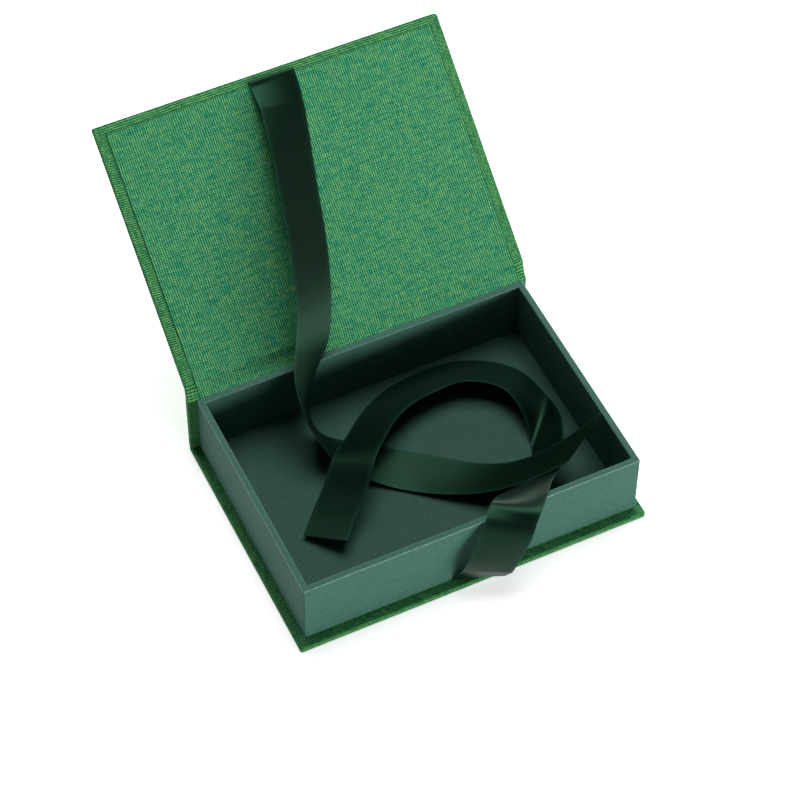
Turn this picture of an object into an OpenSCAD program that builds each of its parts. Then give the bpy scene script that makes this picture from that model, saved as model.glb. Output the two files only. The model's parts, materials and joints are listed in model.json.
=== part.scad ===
// Hinged presentation box: a cloth-covered case of three boards round a paper-covered
// tray, with a satin ribbon from the lid's lining and another from under the tray.
// Millimetres. The origin is the middle of the base's underside, +X runs along the
// front edge, +Y to the spine and +Z up. The lid is modelled open, as it stands at rest.

/* [Case] */
// Width of the base and spine, along the hinge
case_w = 170; // [120:1:240]
// Depth of the base from its front edge to the spine's outer face
case_d = 123; // [100:1:180]
// Thickness of the grey board in the base, spine and lid
board_t = 2.5; // [2:0.1:3]
// Thickness of the book cloth
cloth_t = 0.3; // [0.2:0.05:0.4]
// Width of the cloth's turned-in margins
turn_in = 15; // [12:0.5:18]
// Corner radius of the covered boards
corner_r = 1.2; // [0.8:0.1:2]

/* [Lid] */
// Depth of the lid, along the board
lid_d = 120.9; // [98:0.1:178]
// Angle of the open lid above the table
lid_angle = 39; // [20:1:80]
// Sideways offset of the lid on the hinge
lid_shift = 1; // [-1:0.1:1.5]
// Margin between the lining and the lid's side edges
lining_side = 5; // [3:0.1:8]
// Margin between the lining and the lid's free edge
lining_end = 4.3; // [3:0.1:8]

/* [Tray] */
// Outer width of the tray
tray_w = 163; // [110:1:225]
// Outer depth of the tray
tray_d = 114.5; // [90:0.5:170]
// Height of the tray above the base
tray_h = 34.6; // [20:0.1:50]
// Sideways offset of the tray on the base
tray_shift = 0.7; // [-1:0.1:1]
// Thickness of the tray's board
tray_board_t = 2.5; // [2:0.1:3]
// Thickness of the covering paper
paper_t = 0.25; // [0.2:0.05:0.4]
// Gap between the tray's back wall and the spine's lining
glue_gap = 0.1; // [0.1:0.1:0.5]
// Leg of each gummed corner stay
stay_leg = 12; // [8:1:20]
// Corner radius of the paper-covered tray
tray_corner_r = 0.8; // [0.5:0.1:1.5]

/* [Ribbons] */
// Width of the satin ribbon
ribbon_w = 22; // [16:1:25]
// Thickness of the satin ribbon
ribbon_t = 0.3; // [0.2:0.05:0.3]
// Length of each ribbon's glued tab
tab_l = 23; // [15:1:30]

/* [Hidden] */
$fn = 48;
eps = 0.01;

// Levels and faces of the case
spine_drop = 0.2;                         // the spine ends just below the tray's rim
cover_t = board_t + 2*cloth_t;            // a covered board
base_top = cover_t;
base_front = -case_d/2;
spine_out = case_d/2;
spine_in = spine_out - cover_t;
tray_top = base_top + tray_h;
spine_top = tray_top - spine_drop;

// The tray's outer block
tray_left = tray_shift - tray_w/2;
tray_right = tray_shift + tray_w/2;
tray_back = spine_in - cloth_t - glue_gap;
tray_front = tray_back - tray_d;
wall_t = tray_board_t + 2*paper_t;
floor_top = base_top + tray_board_t + paper_t;
stay_t = 0.1;

// The line that the lid turns about, in the middle of the free fold of cloth
hinge_behind = 1;                         // behind the spine's outer face
hinge_above = 2.3;                        // above the tray's rim
hinge_y = spine_out + hinge_behind;
hinge_z = tray_top + hinge_above;
foot_reach = 3.1;                         // from that line to the board's lower edge
foot_rise = 1.6;                          // and to the lid's inner face

// The lid's frame: s runs up along the board, h out of its inner face
along = [0, cos(lid_angle), sin(lid_angle)];
inward = [0, -sin(lid_angle), cos(lid_angle)];
lid_foot = [0, hinge_y, hinge_z] + foot_reach*along + foot_rise*inward;
lid_left = lid_shift - case_w/2;
lid_right = lid_shift + case_w/2;
lining_left = lid_left + lining_side;
lining_right = lid_right - lining_side;
lining_top = lid_d - lining_end;
fold_left = (lid_left - case_w/2)/2;      // the fold lies halfway between spine and lid
fold_right = (lid_right + case_w/2)/2;
fold_dip = [0.6, -1.2];                   // how far its inner side dips midway, [y, z]
fold_steps = 6;

// Ribbons: both leave the box at the same place across its width
ribbon_x = 1.6;
slot_side = 0.2;                          // room beside a glued tab in the turned-in cloth
slot_reach = 2.6;                         // and past the edge that the tab comes out under
lid_tab_s = 116.8;
tray_tab_y = tray_front - glue_gap;

// The run of the lid's ribbon down over the lid, the rim and the tray's floor. Each
// station is [x, y, z, turn, tilt]: the middle of the ribbon, and the direction across
// it as an angle about the vertical and a slope, in degrees.
lid_run = [
    [1, 142, 111.5, 1, -13], [-1.5, 129, 103.5, 3, -21], [-4.5, 116.5, 95, 4, -24],
    [-7.5, 104, 87.5, 4, -26], [-10.5, 91, 79, 5, -28], [-14.5, 78, 71.5, 6, -30],
    [-19, 66, 62.5, 9, -33], [-24.5, 56, 52.5, 13, -35], [-31.5, 49, 41.5, 30, -39],
    [-35.5, 41, 29, 56, -42], [-34.5, 31, 17.5, 67, -41], [-26, 21.5, 11, 58, -23],
    [-14.5, 12.5, 8, 53, -8], [-3, 3, 7, 53, -2], [9, -6.5, 8, 54, -5],
    [21.5, -16, 10, 54, -14], [33.5, -23.5, 14.5, 54, -20], [46, -29, 21.5, 56, -22],
    [58.5, -32.5, 30, 58, -20], [70.5, -34.5, 39.5, 59, -18],
    [73.5, -34.5, 41.5, 59, -17]];
// The run of the tray's ribbon up over the front rim and round the tray's floor
tray_run = [
    [3, -65.5, 13, -22, -8], [5.5, -66.5, 20.5, -21, -14], [12.5, -64.5, 34, -32, -15],
    [17.5, -59.5, 38, -39, -8], [22.5, -55, 39, -38, 2], [32.5, -45, 32.5, -29, 25],
    [42.5, -36, 23, -21, 33], [52, -26, 17, -6, 41], [59.5, -14, 14, 13, 42],
    [64, -0.5, 9.5, 35, 8], [65, 10.5, 11, 32, -22], [62, 24, 13, 38, -25],
    [52.5, 34.5, 13, 55, -25], [39, 40.5, 13, 74, -26], [23.5, 40.5, 13, 93, -25],
    [9, 37.5, 14, 108, -26], [-4.5, 30.5, 15, 123, -28], [-15.5, 20, 18.5, 133, -28],
    [-26, 9.5, 23, 134, -23], [-35.5, -1, 18, 132, -19], [-45.5, -10, 13.5, 133, -18],
    [-53, -18, 11.5, 134, -17]];
// The lid's ribbon out of the lining's free edge and over its lip, as [s, h] on the lid
lid_lip = [
    [lid_tab_s - tab_l, -0.15], [lid_tab_s + 0.4, -0.15], [lid_tab_s + 1.2, 0],
    [lid_tab_s + 1.8, 0.45], [lid_tab_s + 1.6, 1], [lid_tab_s + 0.8, 1.35],
    [lid_tab_s - 1.5, 1.6]];
// The tray's ribbon out from under the front wall, aslant over the base's front edge and
// up, as the places of its two edges
left_x = ribbon_x - ribbon_w/2;
right_x = ribbon_x + ribbon_w/2;
tab_z = base_top - ribbon_t/2;
tray_curl = [
    [[left_x, tray_front + tab_l, tab_z], [right_x, tray_front + tab_l, tab_z]],
    [[left_x, tray_tab_y, tab_z], [right_x, tray_tab_y, tab_z]],
    [[left_x, -56.9, 3.2], [right_x, -60, 3.5]],
    [[-9.3, -57.4, 3.9], [12.2, -64, 3.6]],
    [[-8.9, -57.7, 5.2], [11.9, -65.8, 4.5]],
    [[-8.1, -58.4, 7.8], [12, -66.8, 6.6]]];
lid_ribbon_cut = 18;                      // slant of the lid ribbon's cut end
slant_step = 0.03;
ribbon_parts = 2;                         // rings from one station to the next

// ---- shapes ----

// A flat block with rounded vertical corners, from its low corner to its high one
module plate(low, high, r = corner_r) {
    translate([0, 0, low[2]])
    linear_extrude(high[2] - low[2]) {
        translate([low[0] + r, low[1]])
            square([high[0] - low[0] - 2*r, high[1] - low[1]]);
        translate([low[0], low[1] + r])
            square([high[0] - low[0], high[1] - low[1] - 2*r]);
        for (x = [low[0] + r, high[0] - r], y = [low[1] + r, high[1] - r])
            translate([x, y]) circle(r);
    }
}

module block(low, high) {
    translate(low) cube(high - low);
}

// Puts a shape drawn with the lid lying flat, its inner face at z = 0, in its place
module on_lid() {
    translate(lid_foot) rotate([lid_angle, 0, 0]) children();
}

function lid_point(s, h) = lid_foot + s*along + h*inward;

// ---- the free fold's section, in the plane across the hinge ----

function flat(p) = [p[1], p[2]];
function bend(a, c, b) =
    [for (i = [0 : fold_steps]) let(t = i/fold_steps) (1-t)*(1-t)*a + 2*t*(1-t)*c + t*t*b];

// A line of the fold's section at a depth, from the inner face of the covered boards
// towards the outer one: it sags inside and lies straight outside
function fold_line(depth) =
    let(a = [spine_in + depth, spine_top], b = flat(lid_point(0, -depth)))
    bend(a, (a + b)/2 + fold_dip*(1 - depth/cover_t), b);

// A band of the fold between two depths
module fold_band(depth_0, depth_1, x_low, x_high) {
    top = fold_line(depth_0);
    bottom = fold_line(depth_1);
    outline = concat(top, [for (i = [fold_steps : -1 : 0]) bottom[i]]);
    translate([x_low, 0, 0]) rotate([90, 0, 90])
        linear_extrude(x_high - x_low) polygon(outline);
}

// ---- boards ----

module base_board() {
    color("#8d8a80")
    plate([-case_w/2 + cloth_t, base_front + cloth_t, cloth_t],
          [case_w/2 - cloth_t, spine_out - cloth_t, cloth_t + board_t]);
}

module spine_board() {
    color("#8d8a80")
    block([-case_w/2 + cloth_t, spine_in + cloth_t, cloth_t + board_t],
          [case_w/2 - cloth_t, spine_out - cloth_t, spine_top - cloth_t]);
}

module lid_board() {
    color("#8d8a80")
    on_lid()
    plate([lid_left + cloth_t, 0, -cloth_t - board_t],
          [lid_right - cloth_t, lid_d - cloth_t, -cloth_t]);
}

// ---- cloth of the case ----

// The base's and spine's share of the sheet: under the base, round its three edges and
// in by a margin, and up the spine's outer face, round its ends and in by a margin
module base_cloth() {
    color("#3f8a5f")
    difference() {
        union() {
            plate([-case_w/2, base_front, 0], [case_w/2, spine_out, base_top]);
            block([-case_w/2, spine_in, base_top - eps], [case_w/2, spine_out, spine_top]);
        }
        base_board();
        spine_board();
        // the space above the board inside the margins, under the tray
        block([-case_w/2 + turn_in, base_front + turn_in, cloth_t + board_t - eps],
              [case_w/2 - turn_in, spine_in + cloth_t, base_top + eps]);
        // the spine's inner face between its margins, and its open top
        block([-case_w/2 + turn_in, spine_in - eps, cloth_t + board_t],
              [case_w/2 - turn_in, spine_in + cloth_t + eps, spine_top + eps]);
        block([-case_w/2 + cloth_t, spine_in + cloth_t, cloth_t + board_t],
              [case_w/2 - cloth_t, spine_out - cloth_t, spine_top + eps]);
        // the place of the ribbon's tab under the tray's front wall
        block([left_x - slot_side, tray_front - slot_reach, cloth_t + board_t],
              [right_x + slot_side, base_front + turn_in + eps, base_top + eps]);
    }
}

// The free fold of the sheet, with its two margins turned in over the joint
module hinge_cloth() {
    color("#3f8a5f") {
        for (x = [fold_left, fold_right - cloth_t])
            fold_band(0, cover_t, x, x + cloth_t);
        fold_band(cover_t - cloth_t, cover_t, fold_left + cloth_t - eps,
                  fold_right - cloth_t + eps);
        fold_band(0, cloth_t, fold_left + cloth_t - eps, fold_left + turn_in);
        fold_band(0, cloth_t, fold_right - turn_in, fold_right - cloth_t + eps);
    }
}

// The lid's share of the sheet, with margins turned in on three sides
module lid_cloth() {
    color("#3f8a5f")
    on_lid()
    difference() {
        plate([lid_left, 0, -cover_t], [lid_right, lid_d, 0]);
        plate([lid_left + cloth_t, -corner_r, -cloth_t - board_t],
              [lid_right - cloth_t, lid_d - cloth_t, -cloth_t]);
        block([lid_left + turn_in, -eps, -cloth_t - eps],
              [lid_right - turn_in, lid_d - turn_in, eps]);
        // the place of the ribbon's tab, under the lining's free edge
        block([left_x - slot_side, lid_d - turn_in - eps, -cloth_t],
              [right_x + slot_side, lining_top + slot_reach, eps]);
    }
}

// ---- lining ----

module lid_lining() {
    color("#47966a")
    on_lid()
    block([lining_left, 0, 0], [lining_right, lining_top, cloth_t]);
}

module hinge_lining() {
    color("#47966a")
    fold_band(-cloth_t, 0, lining_left, lining_right);
}

module spine_lining() {
    color("#47966a")
    block([lining_left, spine_in - cloth_t, base_top],
          [lining_right, spine_in, spine_top]);
}

// ---- tray ----

module tray_floor_board() {
    color("#8d8a80")
    block([tray_left + wall_t - paper_t, tray_front + wall_t - paper_t, base_top],
          [tray_right - wall_t + paper_t, tray_back - wall_t + paper_t,
           base_top + tray_board_t]);
}

// A tray wall's board, from a low to a high corner in plan
module wall_board(low, high) {
    color("#8d8a80")
    block([low[0], low[1], base_top], [high[0], high[1], tray_top - paper_t]);
}

module tray_front_board() {
    wall_board([tray_left + paper_t, tray_front + paper_t],
               [tray_right - paper_t, tray_front + paper_t + tray_board_t]);
}

module tray_back_board() {
    wall_board([tray_left + paper_t, tray_back - paper_t - tray_board_t],
               [tray_right - paper_t, tray_back - paper_t]);
}

module side_board(x) {
    wall_board([x, tray_front + paper_t + tray_board_t],
               [x + tray_board_t, tray_back - paper_t - tray_board_t]);
}

module tray_left_board() {
    side_board(tray_left + paper_t);
}

module tray_right_board() {
    side_board(tray_right - paper_t - tray_board_t);
}

// One gummed stay, folded round an outer corner of the boards; x and y say which
module stay(x, y) {
    mirror([x > 0 ? 1 : 0, 0, 0]) mirror([0, y > 0 ? 1 : 0, 0])
    difference() {
        block([-stay_t, -stay_t, 0], [stay_leg, stay_leg, tray_h - paper_t]);
        block([0, 0, -eps], [stay_leg + eps, stay_leg + eps, tray_h]);
    }
}

module corner_stays() {
    color("#b59a6a")
    for (x = [-1, 1], y = [-1, 1])
        translate([x < 0 ? tray_left + paper_t : tray_right - paper_t,
                   y < 0 ? tray_front + paper_t : tray_back - paper_t, base_top])
            stay(x, y);
}

// The paper outside the walls, over the rim and down to the tray's floor
module tray_wrap_paper() {
    color("#35695a")
    difference() {
        plate([tray_left, tray_front, base_top], [tray_right, tray_back, tray_top],
              tray_corner_r);
        block([tray_left + wall_t, tray_front + wall_t, base_top - eps],
              [tray_right - wall_t, tray_back - wall_t, tray_top + eps]);
        tray_front_board();
        tray_back_board();
        tray_left_board();
        tray_right_board();
        corner_stays();
        tray_floor_board();
    }
}

module tray_floor_paper() {
    color("#35695a")
    block([tray_left + wall_t, tray_front + wall_t, base_top + tray_board_t],
          [tray_right - wall_t, tray_back - wall_t, floor_top]);
}

// ---- ribbons ----

// A ring is the pair of points at the ribbon's two edges
function across(turn, tilt) = [cos(turn)*cos(tilt), sin(turn)*cos(tilt), sin(tilt)];
function ring(st) =
    let(c = [st[0], st[1], st[2]], w = across(st[3], st[4])*ribbon_w/2) [c - w, c + w];
function level_ring(p) = [p - [ribbon_w/2, 0, 0], p + [ribbon_w/2, 0, 0]];

// A smooth curve through the stations
function pick(list, i) = list[min(max(i, 0), len(list) - 1)];
function smooth(list, i, t) =
    let(a = pick(list, i-1), b = pick(list, i), c = pick(list, i+1), d = pick(list, i+2))
    0.5*(2*b + (c-a)*t + (2*a - 5*b + 4*c - d)*t*t + (3*b - a - 3*c + d)*t*t*t);
function run_rings(list) = [
    for (i = [0 : len(list) - 2], k = [0 : ribbon_parts - 1])
        ring(smooth(list, i, k/ribbon_parts)),
    ring(list[len(list) - 1])];

// Cuts the end on a slant: past the cut, the first edge hardly goes on
function mix(a, b, t) = a + (b - a)*t;
function slant_end(rings, cut) =
    let(end = rings[len(rings) - 1][0],
        whole = [for (i = [0 : len(rings) - 1]) if (norm(end - rings[i][0]) > cut) i],
        j = whole[len(whole) - 1])
    [for (i = [0 : len(rings) - 1])
        i <= j ? rings[i] : [mix(rings[j][0], end, slant_step*(i - j)), rings[i][1]]];

// A thin closed band swept along the rings
module band(rings) {
    n = len(rings);
    mid = [for (r = rings) (r[0] + r[1])/2];
    normal = [for (i = [0 : n-1])
        let(go = mid[min(i+1, n-1)] - mid[max(i-1, 0)], v = cross(rings[i][1] - rings[i][0], go))
        v*(ribbon_t/2)/norm(v)];
    points = [for (i = [0 : n-1]) each
        [rings[i][0] + normal[i], rings[i][1] + normal[i],
         rings[i][1] - normal[i], rings[i][0] - normal[i]]];
    // the two broad faces are split along the same diagonal, so the band keeps its thickness
    sides = [for (i = [0 : n-2], k = [0 : 3])
        let(a = 4*i + k, b = 4*i + (k+1)%4)
        each k == 2 ? [[a, a+4, b], [b, a+4, b+4]] : [[a, b+4, b], [a, a+4, b+4]]];
    last = 4*(n-1);
    ends = [[0, 1, 2], [0, 2, 3], [last, last+2, last+1], [last, last+3, last+2]];
    polyhedron(points, concat(sides, ends));
}

function lip_ring(p) =
    let(q = lid_point(p[0], p[1])) level_ring([ribbon_x, q[1], q[2]]);

module lid_ribbon() {
    color("#1c3a31")
    band(slant_end(concat([for (p = lid_lip) lip_ring(p)], run_rings(lid_run)),
                   lid_ribbon_cut));
}

module tray_ribbon() {
    color("#1c3a31")
    band(concat(tray_curl, run_rings(tray_run)));
}

base_board();
spine_board();
lid_board();
base_cloth();
hinge_cloth();
lid_cloth();
lid_lining();
hinge_lining();
spine_lining();
tray_floor_board();
tray_front_board();
tray_back_board();
tray_left_board();
tray_right_board();
corner_stays();
tray_wrap_paper();
tray_floor_paper();
lid_ribbon();
tray_ribbon();
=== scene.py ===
"""Finish of the hinged presentation box: ribbed book cloth on its case and lining, paper on its
tray, and two satin ribbons that tie it shut."""

import json
from math import ceil, cos, hypot, pi, radians, sin

import bmesh
import bpy
import numpy as np
from mathutils import Matrix, Vector


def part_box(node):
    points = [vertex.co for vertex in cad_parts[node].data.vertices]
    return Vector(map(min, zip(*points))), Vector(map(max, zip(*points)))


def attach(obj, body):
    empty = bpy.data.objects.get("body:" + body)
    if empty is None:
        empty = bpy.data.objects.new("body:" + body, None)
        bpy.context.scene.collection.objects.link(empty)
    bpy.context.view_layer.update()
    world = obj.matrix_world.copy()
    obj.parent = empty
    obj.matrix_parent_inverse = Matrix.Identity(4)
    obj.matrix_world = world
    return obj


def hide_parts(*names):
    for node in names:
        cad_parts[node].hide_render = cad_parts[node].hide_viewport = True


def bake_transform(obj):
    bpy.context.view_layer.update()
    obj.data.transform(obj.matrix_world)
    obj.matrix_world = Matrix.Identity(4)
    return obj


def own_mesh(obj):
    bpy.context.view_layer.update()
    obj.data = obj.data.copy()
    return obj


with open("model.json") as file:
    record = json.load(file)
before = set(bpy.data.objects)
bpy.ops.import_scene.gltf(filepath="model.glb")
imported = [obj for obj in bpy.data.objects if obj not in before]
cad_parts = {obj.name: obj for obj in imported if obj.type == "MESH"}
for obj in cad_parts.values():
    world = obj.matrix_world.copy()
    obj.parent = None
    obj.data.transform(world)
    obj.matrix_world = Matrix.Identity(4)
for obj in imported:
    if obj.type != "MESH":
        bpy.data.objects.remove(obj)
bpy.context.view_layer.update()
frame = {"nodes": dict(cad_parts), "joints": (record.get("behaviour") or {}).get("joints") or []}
MM = 0.001


# ---- sizes in millimetres, from the frame where it holds them ----

def node_box(name):
    """Lowest and highest corner of a node of the frame, in millimetres."""
    return [np.array(corner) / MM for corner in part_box(name)]


hinge = np.array(frame["joints"][0]["pos_m"]) / MM
base_low, base_high = node_box("base_cloth")
spine_low, spine_high = node_box("spine_lining")
tray_low, tray_high = node_box("tray_wrap_paper")
_, floor_high = node_box("tray_floor_paper")
lid_low, lid_high = node_box("lid_cloth")
lining_low, lining_high = node_box("lid_lining")

BOARD = 2.5                                 # grey board
CLOTH = 0.3                                 # book cloth
COVER = BOARD + 2 * CLOTH                   # a covered board
PAPER = 0.25                                # covering paper
WALL = BOARD + 2 * PAPER                    # a papered wall of the tray
HAIR = 0.02                                 # keeps faces that touch from being one
TURN_IN = 15                                # the cloth's turned-in margins
CORNER = 1.2                                # corner radius of the covered base
LID_CORNERS = (1.8, 0.8)                    # those of the lid's free edge, right and left
TRAY_CORNER = 0.8                           # corner radius of the papered tray
EDGE = 0.8                                  # roundness of the cloth over a board's edge
LID_ANGLE = radians(39)                     # the open lid above the table
FOOT_REACH, FOOT_RISE = 3.1, 1.6            # from the hinge line to the lid's lower inner edge
ALONG = np.array([0, cos(LID_ANGLE), sin(LID_ANGLE)])     # up the lid
INWARD = np.array([0, -sin(LID_ANGLE), cos(LID_ANGLE)])   # out of its inner face
LID_FOOT = hinge + FOOT_REACH * ALONG + FOOT_RISE * INWARD
LID_DEPTH = (lid_high[2] - LID_FOOT[2]) / sin(LID_ANGLE)
LINING_TOP = (lining_high[2] - LID_FOOT[2] - CLOTH * cos(LID_ANGLE)) / sin(LID_ANGLE)
SPINE_IN, SPINE_OUT, SPINE_TOP = spine_high[1], base_high[1], spine_high[2]

RIBBON_WIDTH, RIBBON_THICK = 22, 0.3
RIBBON_X = 1.6                              # both ribbons leave the box at this place across it
TAB = 23                                    # glued under the lining or the tray
LID_TAB_S = 116.8                           # where the lid's ribbon leaves the lining
TRAY_TAB_Y = tray_low[1] - 0.1              # where the tray's ribbon leaves the front wall's foot
TRAY_TAB_Z = COVER - RIBBON_THICK / 2       # its tab is let into the base's cloth
SLANT = 18                                  # slant of the lid ribbon's cut end

# Stations of the lid's ribbon: the middle of its width as x, y, z, the turn of the line
# across it about the vertical, and the slope of that line, in degrees
LID_RUN = [
    [1, 142, 111.5, 1, -13], [-1.5, 129, 103.5, 3, -21], [-4.5, 116.5, 95, 4, -24],
    [-7.5, 104, 87.5, 4, -26], [-10.5, 91, 79, 5, -28], [-14.5, 78, 71.5, 6, -30],
    [-19, 66, 62.5, 9, -33], [-24.5, 56, 52.5, 13, -35], [-31.5, 49, 41.5, 30, -39],
    [-35.5, 41, 29, 56, -42], [-34.5, 31, 17.5, 67, -41], [-26, 21.5, 11, 58, -23],
    [-14.5, 12.5, 8, 53, -8], [-3, 3, 7, 53, -2], [9, -6.5, 8, 54, -5],
    [21.5, -16, 10, 54, -14], [33.5, -23.5, 14.5, 54, -20], [46, -29, 21.5, 56, -22],
    [58.5, -32.5, 30, 58, -20], [70.5, -34.5, 39.5, 59, -18], [73.5, -34.5, 41.5, 59, -17]]
CROSSING = LID_RUN[13]                      # the station that the tray's ribbon covers
# Stations of the tray's ribbon
TRAY_RUN = [
    [3, -65.5, 13, -22, -8], [5.5, -66.5, 20.5, -21, -14], [12.5, -64.5, 34, -32, -15],
    [17.5, -59.5, 38, -39, -8], [22.5, -55, 39, -38, 2], [32.5, -45, 32.5, -29, 25],
    [42.5, -36, 23, -21, 33], [52, -26, 17, -6, 41], [59.5, -14, 14, 13, 42],
    [64, -0.5, 9.5, 35, 8], [65, 10.5, 11, 32, -22], [62, 24, 13, 38, -25],
    [52.5, 34.5, 13, 55, -25], [39, 40.5, 13, 74, -26], [23.5, 40.5, 13, 93, -25],
    [9, 37.5, 14, 108, -26], [-4.5, 30.5, 15, 123, -28], [-15.5, 20, 18.5, 133, -28],
    [-26, 9.5, 23, 134, -23], [-35.5, -1, 18, 132, -19], [-45.5, -10, 13.5, 133, -18],
    [-53, -18, 11.5, 134, -17]]
# The lid's ribbon from under the lining and over its free edge, as s and h on the lid
LID_LIP = [
    [LID_TAB_S - TAB, -0.15], [LID_TAB_S + 0.4, -0.15], [LID_TAB_S + 1.2, 0],
    [LID_TAB_S + 1.8, 0.45], [LID_TAB_S + 1.6, 1], [LID_TAB_S + 0.8, 1.35],
    [LID_TAB_S - 1.5, 1.6]]
# The tray's ribbon from under the front wall and up, as the places of its two edges
LEFT_X, RIGHT_X = RIBBON_X - RIBBON_WIDTH / 2, RIBBON_X + RIBBON_WIDTH / 2
TRAY_CURL = [
    [[LEFT_X, TRAY_TAB_Y + TAB, TRAY_TAB_Z], [RIGHT_X, TRAY_TAB_Y + TAB, TRAY_TAB_Z]],
    [[LEFT_X, TRAY_TAB_Y, TRAY_TAB_Z], [RIGHT_X, TRAY_TAB_Y, TRAY_TAB_Z]],
    [[LEFT_X, -56.9, 3.2], [RIGHT_X, -60, 3.5]],
    [[-9.3, -57.4, 3.9], [12.2, -64, 3.6]],
    [[-8.9, -57.7, 5.2], [11.9, -65.8, 4.5]],
    [[-8.1, -58.4, 7.8], [12, -66.8, 6.6]]]


# ---- meshes ----

WELD = 1e-7                                 # in metres: points that are closer become one
CREASE = radians(40)                        # faces that meet at a greater angle look creased


def piece(name, points, faces, flat, material):
    """A mesh object from points in millimetres. flat holds three values for each point. On
    cloth and ribbon the first two are its place on the flat sheet before it was folded, across
    the ribs or the ribbon and along them. The third says how far an edge is painted: darker on
    cloth, for a cut edge with painted shade along it, and paler on paper, for a rubbed fold with
    a painted highlight."""
    mesh = bpy.data.meshes.new(name)
    mesh.from_pydata(np.asarray(points, float) * MM, [], faces)
    flat = np.asarray(flat, np.float32)
    attribute = mesh.attributes.new("flat_mm", "FLOAT_VECTOR", "POINT")
    attribute.data.foreach_set("vector", flat.ravel())
    pattern = mesh.uv_layers.new(name="flat")
    corners = np.empty(len(mesh.loops), np.int32)
    mesh.loops.foreach_get("vertex_index", corners)
    pattern.uv.foreach_set("vector", (flat[corners, :2] * MM).ravel())
    form = bmesh.new()
    form.from_mesh(mesh)
    bmesh.ops.remove_doubles(form, verts=form.verts, dist=WELD)
    bmesh.ops.recalc_face_normals(form, faces=form.faces)
    form.to_mesh(mesh)
    form.free()
    mesh.polygons.foreach_set("use_smooth", [True] * len(mesh.polygons))
    mesh.set_sharp_from_angle(angle=CREASE)
    mesh.materials.append(material)
    thing = bpy.data.objects.new(name, mesh)
    bpy.context.scene.collection.objects.link(thing)
    return thing


def join_parts(parts):
    """Joins (points, faces, flat) parts into one."""
    points, faces, flat = [], [], []
    for part_points, part_faces, part_flat in parts:
        start = len(points)
        points += list(part_points)
        faces += [tuple(i + start for i in face) for face in part_faces]
        flat += list(part_flat)
    return points, faces, flat


def loft(rings, flat_rings, closed_ring=False, closed_stack=False):
    """A closed or open skin over rings of points that match one to one."""
    rows, columns = len(rings), len(rings[0])
    points = [p for ring in rings for p in ring]
    flat = [p for ring in flat_rings for p in ring]
    faces = []
    for i in range(rows if closed_stack else rows - 1):
        for j in range(columns if closed_ring else columns - 1):
            k, m = (i + 1) % rows, (j + 1) % columns
            faces.append((i * columns + j, i * columns + m, k * columns + m, k * columns + j))
    return points, faces, flat


def sheet_skin(outer, inner, flat):
    """A thin closed sheet between two grids of points that match one to one."""
    rows, columns = len(outer), len(outer[0])
    count = rows * columns
    points = [p for grid in (outer, inner) for row in grid for p in row]
    flat_points = [p for row in flat for p in row] * 2
    faces = []
    for i in range(rows - 1):
        for j in range(columns - 1):
            a = i * columns + j
            quad = (a, a + 1, a + columns + 1, a + columns)
            faces.append(quad)
            faces.append(tuple(count + k for k in reversed(quad)))
    rim = [(i, 0) for i in range(rows)] + [(rows - 1, j) for j in range(1, columns)]
    rim += [(i, columns - 1) for i in range(rows - 2, -1, -1)]
    rim += [(0, j) for j in range(columns - 2, 0, -1)]
    for (i, j), (k, m) in zip(rim, rim[1:] + rim[:1]):
        a, b = i * columns + j, k * columns + m
        faces.append((a, b, count + b, count + a))
    return points, faces, flat_points


ARC_STEPS = 5                               # flats of each rounding
SUPPORT = 0.3                               # a narrow flat beside each rounding keeps it crisp
LEAST_RADIUS = 0.12                         # of a corner, on an outline that is set in
MIDDLE = TURN_IN + 5                        # further in, a cover's under face is one flat


def arc_rows(thickness, shrink):
    """The section of a cover round a board's edge, from the under face to the upper one, as
    distance in from the edge and height. shrink is the depth under the outer surface."""
    radius = EDGE - shrink
    angles = [pi / 2 * i / ARC_STEPS for i in range(ARC_STEPS + 1)]
    under = [(EDGE - radius * sin(a), EDGE - radius * cos(a)) for a in angles]
    over = [(d, thickness - z) for d, z in reversed(under)]
    return [(EDGE + SUPPORT, shrink)] + under + over + [(EDGE + SUPPORT, thickness - shrink)]


def outline(low, high, inset, radii, open_side=False):
    """Points and outward directions round a rectangle with rounded corners, set in by inset.
    radii are those of the corners (right, far), (left, far), (left, near), (right, near); with
    open_side the near side is left out, and its corners are square."""
    corners = [(high[0], high[1]), (low[0], high[1]), (low[0], low[1]), (high[0], low[1])]
    signs = [(1, 1), (-1, 1), (-1, -1), (1, -1)]
    places, ways = [], []
    for k in range(2 if open_side else 4):
        radius = max(radii[k] - inset, LEAST_RADIUS)
        cx = corners[k][0] - signs[k][0] * (inset + radius)
        cy = corners[k][1] - signs[k][1] * (inset + radius)
        start = k * pi / 2
        for i in range(-1, ARC_STEPS + 2):
            angle = start + pi / 2 * min(max(i, 0), ARC_STEPS) / ARC_STEPS
            way = (cos(angle), sin(angle))
            aside = SUPPORT * ((i > ARC_STEPS) - (i < 0))
            x = cx + radius * way[0] - aside * way[1]
            y = cy + radius * way[1] + aside * way[0]
            places.append((x, y))
            ways.append(way)
    if open_side:
        places = [(high[0] - inset, low[1])] + places + [(low[0] + inset, low[1])]
        ways = [(1, 0)] + ways + [(-1, 0)]
    return places, ways


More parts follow.
